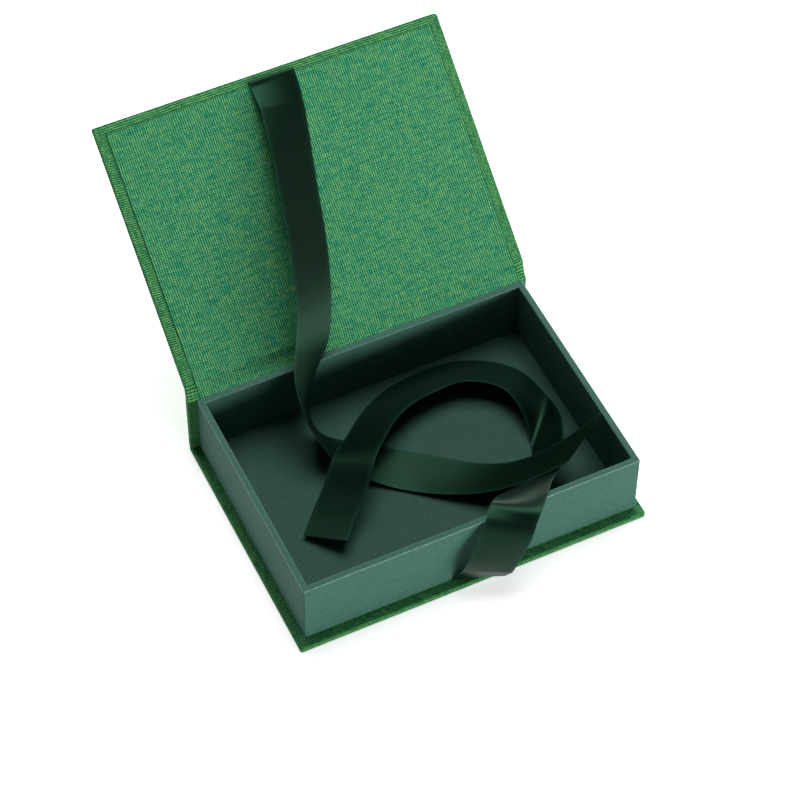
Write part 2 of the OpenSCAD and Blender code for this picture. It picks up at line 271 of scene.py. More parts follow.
def board_cover(low, high, thickness, radii, place, flat_place, open_side=False):
    """Cloth round a board: its whole under face, its edges and the margins turned in on top.
    low and high are corners of its outline; place puts (x, y, height) in the model."""
    edge, _ = outline(low, high, 0, radii, open_side)
    outer, inner = [[(MIDDLE, shrink)] + arc_rows(thickness, shrink) + [(TURN_IN, thickness - shrink)]
                    for shrink in (0, CLOTH)]
    runs = [0]
    for (d0, z0), (d1, z1) in zip(outer, outer[1:]):
        runs.append(runs[-1] + hypot(d1 - d0, z1 - z0))
    edge_run = runs[1] + EDGE + SUPPORT     # where the sheet passes the board's edge
    rings, flat_rings = [], []
    for section, order in ((outer, 1), (inner, -1)):
        for (inset, height), run in list(zip(section, runs))[::order]:
            ring, ways = outline(low, high, inset, radii, open_side)
            out = run - edge_run
            rings.append([place(x, y, height) for x, y in ring])
            flat_rings.append([flat_place(x + across * out, y + along * out)
                               for (x, y), (across, along) in zip(edge, ways)])
    points, faces, flat = loft(rings, flat_rings, closed_ring=not open_side)
    columns, rows = len(rings[0]), len(rings)
    last = (rows - 1) * columns
    faces.append(tuple(range(columns)))
    faces.append(tuple(range(last, rows * columns)))
    if open_side:
        # the cloth's thickness along the side that is left out
        for side in (0, columns - 1):
            for i in range(rows // 2 - 1):
                a, b = i * columns + side, (i + 1) * columns + side
                c, d = (rows - 2 - i) * columns + side, (rows - 1 - i) * columns + side
                faces.append((a, b, c, d))
        faces.append((0, columns - 1, last + columns - 1, last))
    return points, faces, flat


def wrap_path(low_x, high_x, thickness, margin, shrink=0, pinch=0):
    """The section of cloth wrapped across a strip of board, from one turned-in margin's edge
    over the outer face to the other's, as x and height from the outer face."""
    rows = [(margin, thickness - shrink)] + list(reversed(arc_rows(thickness, shrink)))
    left = [(low_x + d + pinch * sin(pi * z / thickness), z) for d, z in rows]
    right = [(high_x - d - pinch * sin(pi * z / thickness), z) for d, z in reversed(rows)]
    return left + right


def wrap_runs(path):
    """The place of each point of a wrap's section along the flat sheet."""
    runs = [0]
    for (x0, z0), (x1, z1) in zip(path, path[1:]):
        runs.append(runs[-1] + hypot(x1 - x0, z1 - z0))
    return [run - runs[-1] / 2 for run in runs]


# ---- materials ----

def linear(hex_colour):
    """A colour written as sRGB hex, in the linear values that the nodes take."""
    shares = [int(hex_colour[i:i + 2], 16) / 255 for i in (1, 3, 5)]
    return [s / 12.92 if s <= 0.04045 else ((s + 0.055) / 1.055) ** 2.4 for s in shares] + [1]


def new_material(name):
    """A material whose node tree is empty."""
    material = bpy.data.materials.new(name)
    material.use_nodes = True
    material.node_tree.nodes.clear()
    return material


def add(tree, kind, inputs=(), out=0, **settings):
    """Adds a node with its settings, links or sets its inputs, and returns one of its outputs.
    inputs are a list in the node's own order, or a dict by name or place."""
    node = tree.nodes.new("ShaderNode" + kind)
    for name, value in settings.items():
        setattr(node, name, value)
    for key, value in (inputs if isinstance(inputs, dict) else dict(enumerate(inputs))).items():
        if isinstance(value, bpy.types.NodeSocket):
            tree.links.new(value, node.inputs[key])
        else:
            node.inputs[key].default_value = value
    return node.outputs[out] if node.outputs else None


RIB_PITCH = 1.05                            # from one rib of the cloth to the next
STITCH_PITCH = 1.36                         # from one gap of the weave to the next along a rib
GAP, GAP_STEP = 0.85, 0.3                   # how dark the gaps are, and how far that steps
FLECK = (0.9, 5, 1)                         # a stroke of yarn along a rib: across it and along it
STREAK = (9, 1.1, 1)                        # a stroke of the crossing yarn
DRIFT = 9                                   # length over which the ribs wander
BEAD_TONE, FLECK_TONE, STREAK_TONE = 0.55, 0.8, 0.7       # how far each of them lightens a yarn
DARKER = -0.52                              # brings the middle tone back down
FLECK_RISE, GAP_RISE = 0.8, -0.8            # how far each of them lifts the surface of a ridge


def book_cloth(name, light, dark, crossing, gap):
    """Book cloth: ribbed rayon cloth with a paper back, woven from mixed yarn. The eye sees
    fine matt ribs, dark gaps between them that step like bricks from row to row, and short
    bluish streaks where the crossing yarn shows. flat_mm's third value darkens a cut edge, with
    painted shade along it."""
    material = new_material(name)
    tree = material.node_tree
    flat = add(tree, "Attribute", out="Vector", attribute_name="flat_mm")
    wander = add(tree, "TexNoise", {"Vector": flat, "Scale": 1 / DRIFT, "Detail": 1})
    wander = add(tree, "CombineXYZ", [wander])
    place = add(tree, "VectorMath", [flat, wander], operation="ADD")
    grid = add(tree, "VectorMath", [place, (RIB_PITCH, STITCH_PITCH, 1)], operation="DIVIDE")
    turns = add(tree, "VectorMath", [grid, (2 * pi, 2 * pi, 0)], operation="MULTIPLY")
    rib = add(tree, "SeparateXYZ", [turns])
    stitch = rib.node.outputs[1]
    ridge = add(tree, "Math", [rib], operation="COSINE")
    valley = add(tree, "Math", [ridge, -0.5, 0.5], operation="MULTIPLY_ADD")
    # side changes its sign from one valley to the next, so that the gaps step by half
    side = add(tree, "Math", [rib, 0.5], operation="MULTIPLY")
    side = add(tree, "Math", [side], operation="SINE")
    step = add(tree, "Math", [stitch], operation="COSINE")
    dot = add(tree, "Math", [side, step], operation="MULTIPLY")
    dot = add(tree, "Math", [dot, GAP_STEP, GAP], operation="MULTIPLY_ADD")
    gap_share = add(tree, "Math", [valley, dot], operation="MULTIPLY", use_clamp=True)
    # strokes of lighter and darker yarn: bead by bead, along the ribs and across them. A bead
    # is one ridge wide, so its cell starts half a rib aside
    cell = add(tree, "VectorMath", [grid, (0.5, 0, 0)], operation="ADD")
    cell = add(tree, "VectorMath", [cell], operation="FLOOR")
    bead = add(tree, "TexWhiteNoise", {"Vector": cell}, noise_dimensions="2D")
    fleck_place = add(tree, "VectorMath", [flat, FLECK], operation="DIVIDE")
    fleck = add(tree, "TexNoise", {"Vector": fleck_place, "Scale": 1, "Detail": 2})
    streak_place = add(tree, "VectorMath", [flat, STREAK], operation="DIVIDE")
    streak = add(tree, "TexNoise", {"Vector": streak_place, "Scale": 1, "Detail": 2})
    tone = add(tree, "Math", [bead, BEAD_TONE, DARKER], operation="MULTIPLY_ADD")
    tone = add(tree, "Math", [fleck, FLECK_TONE, tone], operation="MULTIPLY_ADD")
    tone = add(tree, "Math", [streak, STREAK_TONE, tone], operation="MULTIPLY_ADD", use_clamp=True)
    colour = add(tree, "Mix", {0: tone, 6: linear(dark), 7: linear(light)}, 2, data_type="RGBA")
    blue = add(tree, "MapRange", {"Value": streak, "From Min": 0.36, "From Max": 0.52,
                                  "To Min": 0.35, "To Max": 0})
    colour = add(tree, "Mix", {0: blue, 6: colour, 7: linear(crossing)}, 2, data_type="RGBA")
    colour = add(tree, "Mix", {0: gap_share, 6: colour, 7: linear(gap)}, 2, data_type="RGBA")
    # painted shade: a cut edge is mixed towards the gaps' dark colour, for the edge and the shadow
    # along it
    cut = add(tree, "SeparateXYZ", [flat], 2)
    colour = add(tree, "Mix", {0: cut, 6: colour, 7: linear(gap)}, 2, data_type="RGBA")
    height = add(tree, "Math", [fleck, FLECK_RISE, ridge], operation="MULTIPLY_ADD")
    height = add(tree, "Math", [gap_share, GAP_RISE, height], operation="MULTIPLY_ADD")
    bump = add(tree, "Bump", {"Height": height, "Strength": 0.5, "Distance": 0.12 * MM})
    shader = add(tree, "BsdfPrincipled", {"Base Color": colour, "Roughness": 0.85, "IOR": 1.45,
                                          "Specular IOR Level": 0.2, "Normal": bump})
    add(tree, "OutputMaterial", [shader])
    return material


PULP, TOOTH = 9 * MM, 0.7 * MM              # clouds of pulp, and the paper's fine tooth
PULP_TONE, TOOTH_TONE = 0.35, 2.4           # how far each of them lightens the paper
PAPER_DARKER = -0.87                        # brings the middle tone back down
RUB_AND_HIGHLIGHT = 1.2                                   # how strongly the tooth shows through a rubbed fold and its painted highlight


def covering_paper(name, light, dark, worn_and_highlight):
    """Covering paper: dyed uncoated paper, glued down wet. The eye sees an even matt face
    with a fine tooth, and folds over the boards' edges rubbed paler, with a painted highlight
    on them, as flat_mm's third value says."""
    material = new_material(name)
    tree = material.node_tree
    place = add(tree, "TexCoord", out="Object")
    pulp = add(tree, "TexNoise", {"Vector": place, "Scale": 1 / PULP, "Detail": 5})
    tooth = add(tree, "TexNoise", {"Vector": place, "Scale": 1 / TOOTH, "Detail": 2})
    tone = add(tree, "Math", [pulp, PULP_TONE, PAPER_DARKER], operation="MULTIPLY_ADD")
    tone = add(tree, "Math", [tooth, TOOTH_TONE, tone], operation="MULTIPLY_ADD", use_clamp=True)
    colour = add(tree, "Mix", {0: tone, 6: linear(dark), 7: linear(light)}, 2, data_type="RGBA")
    # painted highlight with wear: the folds over the rim are mixed towards the pale worn colour
    fold = add(tree, "Attribute", out="Vector", attribute_name="flat_mm")
    fold = add(tree, "SeparateXYZ", [fold], 2)
    rub_and_highlight = add(tree, "Math", [tooth, RUB_AND_HIGHLIGHT], operation="MULTIPLY")
    rub_and_highlight = add(tree, "Math", [fold, rub_and_highlight], operation="MULTIPLY", use_clamp=True)
    colour = add(tree, "Mix", {0: rub_and_highlight, 6: colour, 7: linear(worn_and_highlight)}, 2, data_type="RGBA")
    bump = add(tree, "Bump", {"Height": tooth, "Strength": 0.35, "Distance": 0.05 * MM})
    shader = add(tree, "BsdfPrincipled", {"Base Color": colour, "Roughness": 0.75, "IOR": 1.45,
                                          "Specular IOR Level": 0.25, "Normal": bump})
    add(tree, "OutputMaterial", [shader])
    return material


WARP = (0.35, 25, 1)                        # the real warp is near 0.1 mm: drawn coarser, to show
PICOT_PITCH = 0.93                          # between the small loops of the ribbon's woven edge
PICOT = 0.3                                 # how far those loops stand out and draw in
LOOPS = 0.55                                # how far in from the edge they are paler
SELVEDGE = 1.4                              # the denser woven line, in from each edge
SELVEDGE_HALF = 0.35                        # half the width of that line
WARP_TONE, SELVEDGE_TONE = 0.3, 0.6         # how far each of them lightens the face
LOOP_RISE = 1.5                             # how high a loop stands, against the warp's 1


def satin(name, face, edge, loops):
    """Satin: polyester filament woven with long floats along the ribbon. The eye sees a dark
    smooth face whose highlight spreads across the ribbon, and a paler woven edge."""
    material = new_material(name)
    tree = material.node_tree
    flat = add(tree, "Attribute", out="Vector", attribute_name="flat_mm")
    across = add(tree, "SeparateXYZ", [flat])
    along = across.node.outputs[1]
    from_middle = add(tree, "Math", [across], operation="ABSOLUTE")
    selvedge = add(tree, "Math", [from_middle, RIBBON_WIDTH / 2 - SELVEDGE, SELVEDGE_HALF],
                   operation="COMPARE")
    picot = add(tree, "Math", [along, 2 * pi / PICOT_PITCH], operation="MULTIPLY")
    picot = add(tree, "Math", [picot], operation="SINE")
    picot = add(tree, "Math", [picot, 0.5, 0.5], operation="MULTIPLY_ADD")
    rim = add(tree, "Math", [from_middle, RIBBON_WIDTH / 2 - LOOPS], operation="GREATER_THAN")
    rim = add(tree, "Math", [rim, picot], operation="MULTIPLY")
    warp_place = add(tree, "VectorMath", [flat, WARP], operation="DIVIDE")
    warp = add(tree, "TexNoise", {"Vector": warp_place, "Scale": 1, "Detail": 2})
    share = add(tree, "Math", [warp, WARP_TONE], operation="MULTIPLY")
    share = add(tree, "Math", [selvedge, SELVEDGE_TONE, share], operation="MULTIPLY_ADD")
    colour = add(tree, "Mix", {0: share, 6: linear(face), 7: linear(edge)}, 2, data_type="RGBA")
    colour = add(tree, "Mix", {0: rim, 6: colour, 7: linear(loops)}, 2, data_type="RGBA")
    height = add(tree, "Math", [rim, LOOP_RISE, warp], operation="MULTIPLY_ADD")
    bump = add(tree, "Bump", {"Height": height, "Strength": 0.3, "Distance": 0.03 * MM})
    across_weave = add(tree, "Tangent", direction_type="UV_MAP", uv_map="flat")
    shader = add(tree, "BsdfPrincipled", {"Base Color": colour, "Roughness": 0.45, "IOR": 1.5,
                                          "Specular IOR Level": 0.38, "Anisotropic": 0.6,
                                          "Specular Tint": linear("#8feec2"),
                                          "Tangent": across_weave, "Normal": bump})
    add(tree, "OutputMaterial", [shader])
    return material


WASTE_FLECK = 1.2 * MM                      # flecks of waste paper in the grey board


def grey_board(name):
    """Grey board: solid board pressed from waste paper. The eye sees a dull grey face with
    darker and lighter flecks of fibre."""
    material = new_material(name)
    tree = material.node_tree
    place = add(tree, "TexCoord", out="Object")
    flecks = add(tree, "TexNoise", {"Vector": place, "Scale": 1 / WASTE_FLECK, "Detail": 5})
    share = add(tree, "MapRange", {"Value": flecks, "From Min": 0.35, "From Max": 0.65})
    colour = add(tree, "Mix", {0: share, 6: linear("#77746c"), 7: linear("#98958b")}, 2,
                 data_type="RGBA")
    bump = add(tree, "Bump", {"Height": flecks, "Strength": 0.4, "Distance": 0.08 * MM})
    shader = add(tree, "BsdfPrincipled", {"Base Color": colour, "Roughness": 0.9, "Normal": bump})
    add(tree, "OutputMaterial", [shader])
    return material


FIBRE = (3.3 * MM, 3.3 * MM, 0.7 * MM)      # the kraft paper's fibres lie across the corner


def gummed_paper(name):
    """Gummed kraft paper: brown unbleached paper, moistened and rubbed down. The eye sees
    long faint fibres and a slight gloss where the gum came through."""
    material = new_material(name)
    tree = material.node_tree
    place = add(tree, "TexCoord", out="Object")
    grain = add(tree, "VectorMath", [place, FIBRE], operation="DIVIDE")
    fibres = add(tree, "TexNoise", {"Vector": grain, "Scale": 1, "Detail": 3})
    colour = add(tree, "Mix", {0: fibres, 6: linear("#a98d5c"), 7: linear("#c2a878")}, 2,
                 data_type="RGBA")
    shader = add(tree, "BsdfPrincipled", {"Base Color": colour, "Roughness": 0.6})
    add(tree, "OutputMaterial", [shader])
    return material


case_material = book_cloth("book_cloth_case", light="#78c874", dark="#2c925c",
                           crossing="#22765c", gap="#022e1a")
lining_material = book_cloth("book_cloth_lining", light="#80ca7e", dark="#06a07c",
                             crossing="#128070", gap="#003a1b")
paper_material = covering_paper("covering_paper", light="#49796a", dark="#3c6259", worn_and_highlight="#9ab8ac")
# painted shade: a darker copy of the covering paper, for the tray's floor down in the walls' shade
floor_shade_material = covering_paper("covering_paper_floor_painted_shade", light="#375c53", dark="#2d4d43",
                                worn_and_highlight="#9ab8ac")
satin_material = satin("satin_ribbon", face="#010603", edge="#0c281b", loops="#1a4535")
board_material = grey_board("grey_board")
gummed_material = gummed_paper("gummed_paper")

# parts kept from the frame: boards and stays get their own finish, the rest, the tray's floor among
# them, the darker paper with painted shade
for node_name, thing in frame["nodes"].items():
    if node_name.endswith("_board"):
        finish = board_material
    elif node_name == "corner_stays":
        finish = gummed_material
    else:
        finish = floor_shade_material
    thing.data.materials.clear()
    thing.data.materials.append(finish)


# ---- the case's cloth and its lining ----

# Rows of the spine's cloth: height, and how far its two ends draw in at the foot
SPINE_ROWS = [(COVER - 0.1, 0.45), (COVER + 0.25, 0.3), (COVER + 0.8, 0.05), (COVER + 2, 0),
              (SPINE_TOP, 0)]
FOLD_STEPS = 14                             # flats across the free fold
FOLD_DIP = np.array([0, 0.6, -1.2])         # pulls the middle of the fold's inner side down
FOLD_PINCH = 0.7                            # how far the fold's two ends draw in
LID_ON_SHEET = 105                          # the lid's foot, along the case's flat sheet
LINING_MARGIN = 4                           # the even columns start this far in from the sides
LINING_COLUMNS, LINING_ROWS = 31, 24        # even columns, and even rows up the lid
LINING_FOOT = [0, 1, 2, 4]                  # rows that are closer, by the fold
LINING_EVEN = 8                             # where the even rows start up the lid
SPINE_LINING_ROWS = 5
FOLD_ON_SHEET = 8                           # the fold's share of the lining's flat sheet
CUT, CUT_SHADE_SHARE = 0.5, 0.8                   # width and strength of the dark line at its cut edge: the edge's own darkness and painted shade


def lid_point(x, s, h):
    """A point of the lid: x across it, s up from its foot, h out of its inner face."""
    return np.array([x, 0, 0]) + LID_FOOT * [0, 1, 1] + s * ALONG + h * INWARD


def fold_point(x, share, depth):
    """A point of the free fold: share of the way from the spine to the lid, and depth from
    the inner face of the covered boards towards the outer one."""
    start = np.array([0, SPINE_IN + depth, SPINE_TOP])
    end = lid_point(0, 0, -depth)
    middle = (start + end) / 2 + FOLD_DIP * (1 - depth / COVER)
    point = (1 - share) ** 2 * start + 2 * share * (1 - share) * middle + share ** 2 * end
    return point + [x, 0, 0]


def bend_with_lid(thing):
    """Bakes the piece's place into its mesh."""
    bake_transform(thing)


def base_place(x, y, height):
    """A point of the base's cover: height over the table."""
    return np.array([x, y, height])


def lid_place(x, s, height):
    """A point of the lid's cover: height over the lid's outer face."""
    return lid_point(x, s, height - COVER)


def make_base_cloth():
    """Cloth on the base and the spine, with its margins turned in."""
    parts = [board_cover(base_low[:2], base_high[:2], COVER, [CORNER] * 4, base_place,
                         lambda x, y: (y, x, 0))]
    grids = []
    for shrink in (0, CLOTH):
        grid = []
        for height, pinch in SPINE_ROWS:
            path = wrap_path(base_low[0] + pinch, base_high[0] - pinch, COVER, TURN_IN, shrink)
            grid.append([np.array([x, SPINE_OUT - depth, height]) for x, depth in path])
        grids.append(grid)
    runs = wrap_runs(wrap_path(base_low[0], base_high[0], COVER, TURN_IN))
    flat = [[(SPINE_OUT + height, run, 0) for run in runs] for height, _ in SPINE_ROWS]
    parts.append(sheet_skin(*grids, flat))
    cloth = piece("case_cloth_base", *join_parts(parts), case_material)
    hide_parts("base_cloth")
    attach(cloth, "base")


def make_fold_cloth():
    """The free fold of the case's cloth, with its two margins turned in."""
    shares = [i / FOLD_STEPS for i in range(FOLD_STEPS + 1)]
    grids = []
    for shrink in (0, CLOTH):
        grid = []
        for share in shares:
            pinch = FOLD_PINCH * sin(pi * share) ** 0.5
            left = base_low[0] + (lid_low[0] - base_low[0]) * share
            right = base_high[0] + (lid_high[0] - base_high[0]) * share
            path = wrap_path(left, right, COVER, TURN_IN, shrink, pinch)
            grid.append([fold_point(x, share, COVER - depth) for x, depth in path])
        grids.append(grid)
    runs = wrap_runs(wrap_path(base_low[0], base_high[0], COVER, TURN_IN))
    length = np.linalg.norm(fold_point(0, 1, COVER) - fold_point(0, 0, COVER))
    flat = [[(SPINE_OUT + SPINE_TOP + length * share, run, 0) for run in runs] for share in shares]
    cloth = piece("case_cloth_fold", *sheet_skin(*grids, flat), case_material)
    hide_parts("hinge_cloth")
    bend_with_lid(cloth)


def make_lid_cloth():
    """Cloth on the lid, turned in on three sides."""
    cover = board_cover((lid_low[0], 0), (lid_high[0], LID_DEPTH), COVER, LID_CORNERS, lid_place,
                        lambda x, s: (s + LID_ON_SHEET, x, 0), open_side=True)
    cloth = piece("case_cloth_lid", *cover, case_material)
    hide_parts("lid_cloth")
    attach(cloth, "lid")


def make_lining():
    """The lining: one sheet of book cloth down the lid, over the fold and down the spine."""
    left, right = lining_low[0], lining_high[0]
    even = np.linspace(left + LINING_MARGIN, right - LINING_MARGIN, LINING_COLUMNS)
    columns = [left, left + CUT, *even, right - CUT, right]
    top, under, runs = [], [], []
    for height in np.linspace(spine_low[2], SPINE_TOP, SPINE_LINING_ROWS):
        top.append([np.array([x, SPINE_IN - CLOTH, height]) for x in columns])
        under.append([np.array([x, SPINE_IN, height]) for x in columns])
        runs.append(height - SPINE_TOP)
    for i in range(1, FOLD_STEPS):
        share = i / FOLD_STEPS
        top.append([fold_point(x, share, -CLOTH) for x in columns])
        under.append([fold_point(x, share, 0) for x in columns])
        runs.append(FOLD_ON_SHEET * share)
    even = np.linspace(LINING_EVEN, LINING_TOP - CUT, LINING_ROWS)
    for s in [*LINING_FOOT, *even, LINING_TOP]:
        top.append([lid_point(x, s, CLOTH) for x in columns])
        under.append([lid_point(x, s, 0) for x in columns])
        runs.append(FOLD_ON_SHEET + s)
    # painted shade along the lining's cut sides and top, as a darker line there
    flat = [[(x, run, CUT_SHADE_SHARE * (x in (left, right) or run == runs[-1])) for x in columns]
            for run in runs]
    lining = piece("lining_cloth", *sheet_skin(top, under, flat), lining_material)
    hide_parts("lid_lining", "hinge_lining", "spine_lining")
    bend_with_lid(lining)


# ---- the tray's paper ----

RIM_EDGE = 0.45                             # roundness of the paper over the walls' rim
RIM_STEPS = 4                               # flats of that rounding
INNER_RUB_AND_HIGHLIGHT = 0.4                             # the rim's inner fold is rubbed and given less painted highlight than the outer
STAY = 0.1                                  # gummed paper
STAY_LEG = 12                               # how far a stay reaches along each wall
STAY_BARE = 0.1                             # left bare at the walls' foot and rim


def wall_section(shrink):
    """The paper's section over a wall, from the foot outside to the floor inside, as distance
    in from the outer face, height above the base, and how far the fold is rubbed paler, with a
    painted highlight."""
    height = tray_high[2] - tray_low[2]
    floor = floor_high[2] - tray_low[2]
    radius, turn_height = RIM_EDGE - shrink, height - RIM_EDGE
    # each rounding's share of rubbed colour and painted highlight, fullest at its middle
    turns = [(pi / 2 * i / RIM_STEPS, sin(pi * i / RIM_STEPS)) for i in range(RIM_STEPS + 1)]
    rows = [(shrink, HAIR, 0), (shrink, turn_height - SUPPORT, 0)]
    for angle, rub_and_highlight in turns:
        rows.append((RIM_EDGE - radius * cos(angle), turn_height + radius * sin(angle), rub_and_highlight))
    rows.append((RIM_EDGE + SUPPORT, height - shrink, 0))
    rows.append((WALL - RIM_EDGE - SUPPORT, height - shrink, 0))
    for angle, rub_and_highlight in turns:
        inset = WALL - RIM_EDGE + radius * sin(angle)
        rows.append((inset, turn_height + radius * cos(angle), INNER_RUB_AND_HIGHLIGHT * rub_and_highlight))
    rows.append((WALL - shrink, turn_height - SUPPORT, 0))
    rows.append((WALL - shrink, floor - shrink, 0))
    return rows


def tray_outline(inset):
    """Points round the tray, set in from the paper's outer face."""
    return outline(tray_low[:2], tray_high[:2], inset, [TRAY_CORNER] * 4)[0]


def make_tray_paper():
    """Paper on the tray's walls: up outside, over the rim and down inside."""
    rings, flat_rings = [], []
    for inset, height, rub_and_highlight in wall_section(0) + wall_section(PAPER)[::-1]:
        ring = tray_outline(inset)
        rings.append([np.array([x, y, tray_low[2] + height]) for x, y in ring])
        flat_rings.append([(x, y, rub_and_highlight) for x, y in ring])
    skin = loft(rings, flat_rings, closed_ring=True, closed_stack=True)
    paper = piece("tray_paper", *skin, paper_material)
    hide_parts("tray_wrap_paper")
    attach(paper, "base")


def make_corner_stays():
    """Gummed paper folded round each outer corner of the boards, under the covering paper."""
    rings = [tray_outline(PAPER - STAY), tray_outline(PAPER - HAIR)]
    heights = (tray_low[2] + STAY_BARE, tray_high[2] - PAPER - STAY_BARE)
    count = len(rings[0]) // 4              # points of one corner
    parts = []
    for start in range(0, 4 * count, count):
        grids = []
        for ring in rings:
            corner = [np.array(v) for v in ring[start:start + count]]
            first, last = corner[0] - corner[1], corner[-1] - corner[-2]
            corner[0] = corner[1] + first / np.linalg.norm(first) * STAY_LEG
            corner[-1] = corner[-2] + last / np.linalg.norm(last) * STAY_LEG
            grids.append([[np.array([*v, z]) for v in corner] for z in heights])
        flat = [[(v[0], z, 0) for v in rings[0][start:start + count]] for z in heights]
        parts.append(sheet_skin(*grids, flat))
    stays = piece("gummed_corner_stays", *join_parts(parts), gummed_material)
    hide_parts("corner_stays")
    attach(stays, "base")


# ---- ribbons ----

CURVE_STEPS = 24                            # steps of the curve from one station to the next
ROUNDING = 60                               # passes that even the curve out, about 3 mm each way
SOFTENING = 3                               # passes that even the finished rows out
RIBBON_STEP = PICOT_PITCH / 3               # three rows for each loop of the edge
LEAN = 8                                    # the rows start to lean this far before the slant
EDGE_THICK = 0.6                            # the edge's thickness, as a share of the face's
HALF_SHARES = [0.15, 0.45, 0.7, 0.87, 0.94, 0.975, 1]     # columns from the middle to an edge
WIDTH_SHARES = [-share for share in reversed(HALF_SHARES)] + HALF_SHARES


def even_out(rows, passes):
    """Moves each row but the first and the last towards its neighbours, in place."""
    for _ in range(passes):
        rows[1:-1] = (rows[:-2] + 2 * rows[1:-1] + rows[2:]) / 4


def smooth_run(stations):
    """A smooth curve through the stations, as many short steps, then evened out."""
    rows = []
    s = np.array(stations, float)
    for i in range(len(s) - 1):
        a, b = s[max(i - 1, 0)], s[i]
        c, d = s[i + 1], s[min(i + 2, len(s) - 1)]
        for t in np.arange(CURVE_STEPS) / CURVE_STEPS:
            rows.append(0.5 * (2 * b + (c - a) * t + (2 * a - 5 * b + 4 * c - d) * t * t
                               + (3 * b - a - 3 * c + d) * t ** 3))
    rows = np.array(rows + [s[-1]])
    even_out(rows, ROUNDING)
    return rows


def edges_of(station):
    """The two edge points of the ribbon at a station."""
    middle = station[:3]
    turn, tilt = radians(station[3]), radians(station[4])
    across = np.array([cos(turn) * cos(tilt), sin(turn) * cos(tilt), sin(tilt)])
    return np.concatenate([middle - across * RIBBON_WIDTH / 2, middle + across * RIBBON_WIDTH / 2])


def ribbon_rows(edge_pairs):
    """Evenly spaced rows of the ribbon: middles, directions across and outward, and the
    distance along it."""
    pairs = np.array(edge_pairs)
    middles = (pairs[:, :3] + pairs[:, 3:]) / 2
    along = np.concatenate([[0], np.cumsum(np.linalg.norm(np.diff(middles, axis=0), axis=1))])
    count = int(ceil(along[-1] / RIBBON_STEP))
    places = np.linspace(0, along[-1], count + 1)
    rows = np.stack([np.interp(places, along, pairs[:, k]) for k in range(6)], axis=1)
    even_out(rows, SOFTENING)
    middles = (rows[:, :3] + rows[:, 3:]) / 2
    across = rows[:, 3:] - rows[:, :3]
    across /= np.linalg.norm(across, axis=1)[:, None]
    travel = np.gradient(middles, axis=0)
    outward = np.cross(across, travel)
    outward /= np.linalg.norm(outward, axis=1)[:, None]
    return middles, across, outward, places


def ribbon_grids(rows, slant=0):
    """Top and under grids of points for a ribbon, and their places on it laid flat. Its edges
    are set with small loops, and its end is cut on a slant that leaves the first edge shorter."""
    *lines, places = rows
    length = places[-1]
    reach = slant + LEAN
    top, under, flat = [], [], []
    for place in places:
        past = max(place - (length - reach), 0)
        top_row, under_row, flat_row = [], [], []
        for share in WIDTH_SHARES:
            cut = length - slant * (1 - share) / 2
            at = place - past + past * (cut - (length - reach)) / reach
            k = at / length * (len(places) - 1)
            j = min(int(k), len(places) - 2)
            f = k - j
            middle, across, outward = [line[j] * (1 - f) + line[j + 1] * f for line in lines]
            half, thick = RIBBON_WIDTH / 2, RIBBON_THICK
            if abs(share) == 1:
                half += PICOT * sin(2 * pi * at / PICOT_PITCH)
                thick *= EDGE_THICK
            point = middle + across * half * share
            top_row.append(point + outward * thick / 2)
            under_row.append(point - outward * thick / 2)
            flat_row.append((half * share, at, 0))
        top.append(top_row)
        under.append(under_row)
        flat.append(flat_row)
    return top, under, flat


def make_ribbon(name, grids, first, last):
    """A stretch of ribbon between two of its rows."""
    top, under, flat = [grid[first:last + 1] for grid in grids]
    return piece(name, *sheet_skin(top, under, flat), satin_material)


def make_lid_ribbon():
    """The lid's ribbon: the stretch that follows the lid, and its tail in the tray."""
    half = np.array([RIBBON_WIDTH / 2, 0, 0])
    lip = [lid_point(RIBBON_X, s, h) for s, h in LID_LIP]
    lip = [np.concatenate([middle - half, middle + half]) for middle in lip]
    rows = ribbon_rows(lip + [edges_of(station) for station in smooth_run(LID_RUN)])
    middles, _, _, places = rows
    grids = ribbon_grids(rows, SLANT)
    # the split is hidden where the other ribbon crosses over
    split = int(np.argmin(np.linalg.norm(middles - CROSSING[:3], axis=1)))
    upper = make_ribbon("lid_ribbon_upper", grids, 0, split)
    tail = make_ribbon("lid_ribbon_tail", grids, split, len(places) - 1)
    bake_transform(upper)
    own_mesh(tail)
    split_at, end = places[split], places[-1]
    for part, length, slant in ((upper, split_at, 0), (tail, end - split_at, SLANT)):
        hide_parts("lid_ribbon")
    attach(tail, "base")


def make_tray_ribbon():
    """The tray's ribbon: up over the front rim and round the tray's floor."""
    curl = [np.array(left + right, float) for left, right in TRAY_CURL]
    rows = ribbon_rows(curl + [edges_of(station) for station in smooth_run(TRAY_RUN)])
    places = rows[-1]
    ribbon = make_ribbon("tray_ribbon_whole", ribbon_grids(rows), 0, len(places) - 1)
    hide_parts("tray_ribbon")
    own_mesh(ribbon)
    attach(ribbon, "base")


make_base_cloth()
make_fold_cloth()
make_lid_cloth()
make_lining()
make_tray_paper()
make_corner_stays()
make_lid_ribbon()
make_tray_ribbon()


# ---- camera, table and light, in metres ----

# The photograph's camera: its turn from the front, rise and roll, its distance from the point
# that it looks at, and its lens
VIEW_TURN, VIEW_RISE, VIEW_ROLL = radians(-26.207), radians(52.269), radians(0.618)
VIEW_DISTANCE = 1.3646
VIEW_TARGET = Vector((0.01413, 0.04547, 0))
LENS, SENSOR = 132.76, 36                   # in millimetres
FARTHEST = 100                              # what the camera sees ends here

TABLE_HALF = 3
TABLE_DROP = 0.0001                         # under the box, so that the two faces aren't one
WHITE = "#ffffff"

# Soft boxes: name, turn from the front and rise in degrees, distance, size, and power in watts
SOFT_BOXES = [
    ("soft_box_over", 145, 70, 1.3, (0.85, 0.8), 13.4),
    ("soft_box_behind", 175, 13, 1.6, (2.4, 0.6), 22),
    ("soft_box_front", 36, 3.5, 1.5, (1.7, 0.18), 20)]


def away(turn, rise):
    """The direction out from the object at a turn from the front and a rise, in radians."""
    return Vector((sin(turn) * cos(rise), -cos(turn) * cos(rise), sin(rise)))


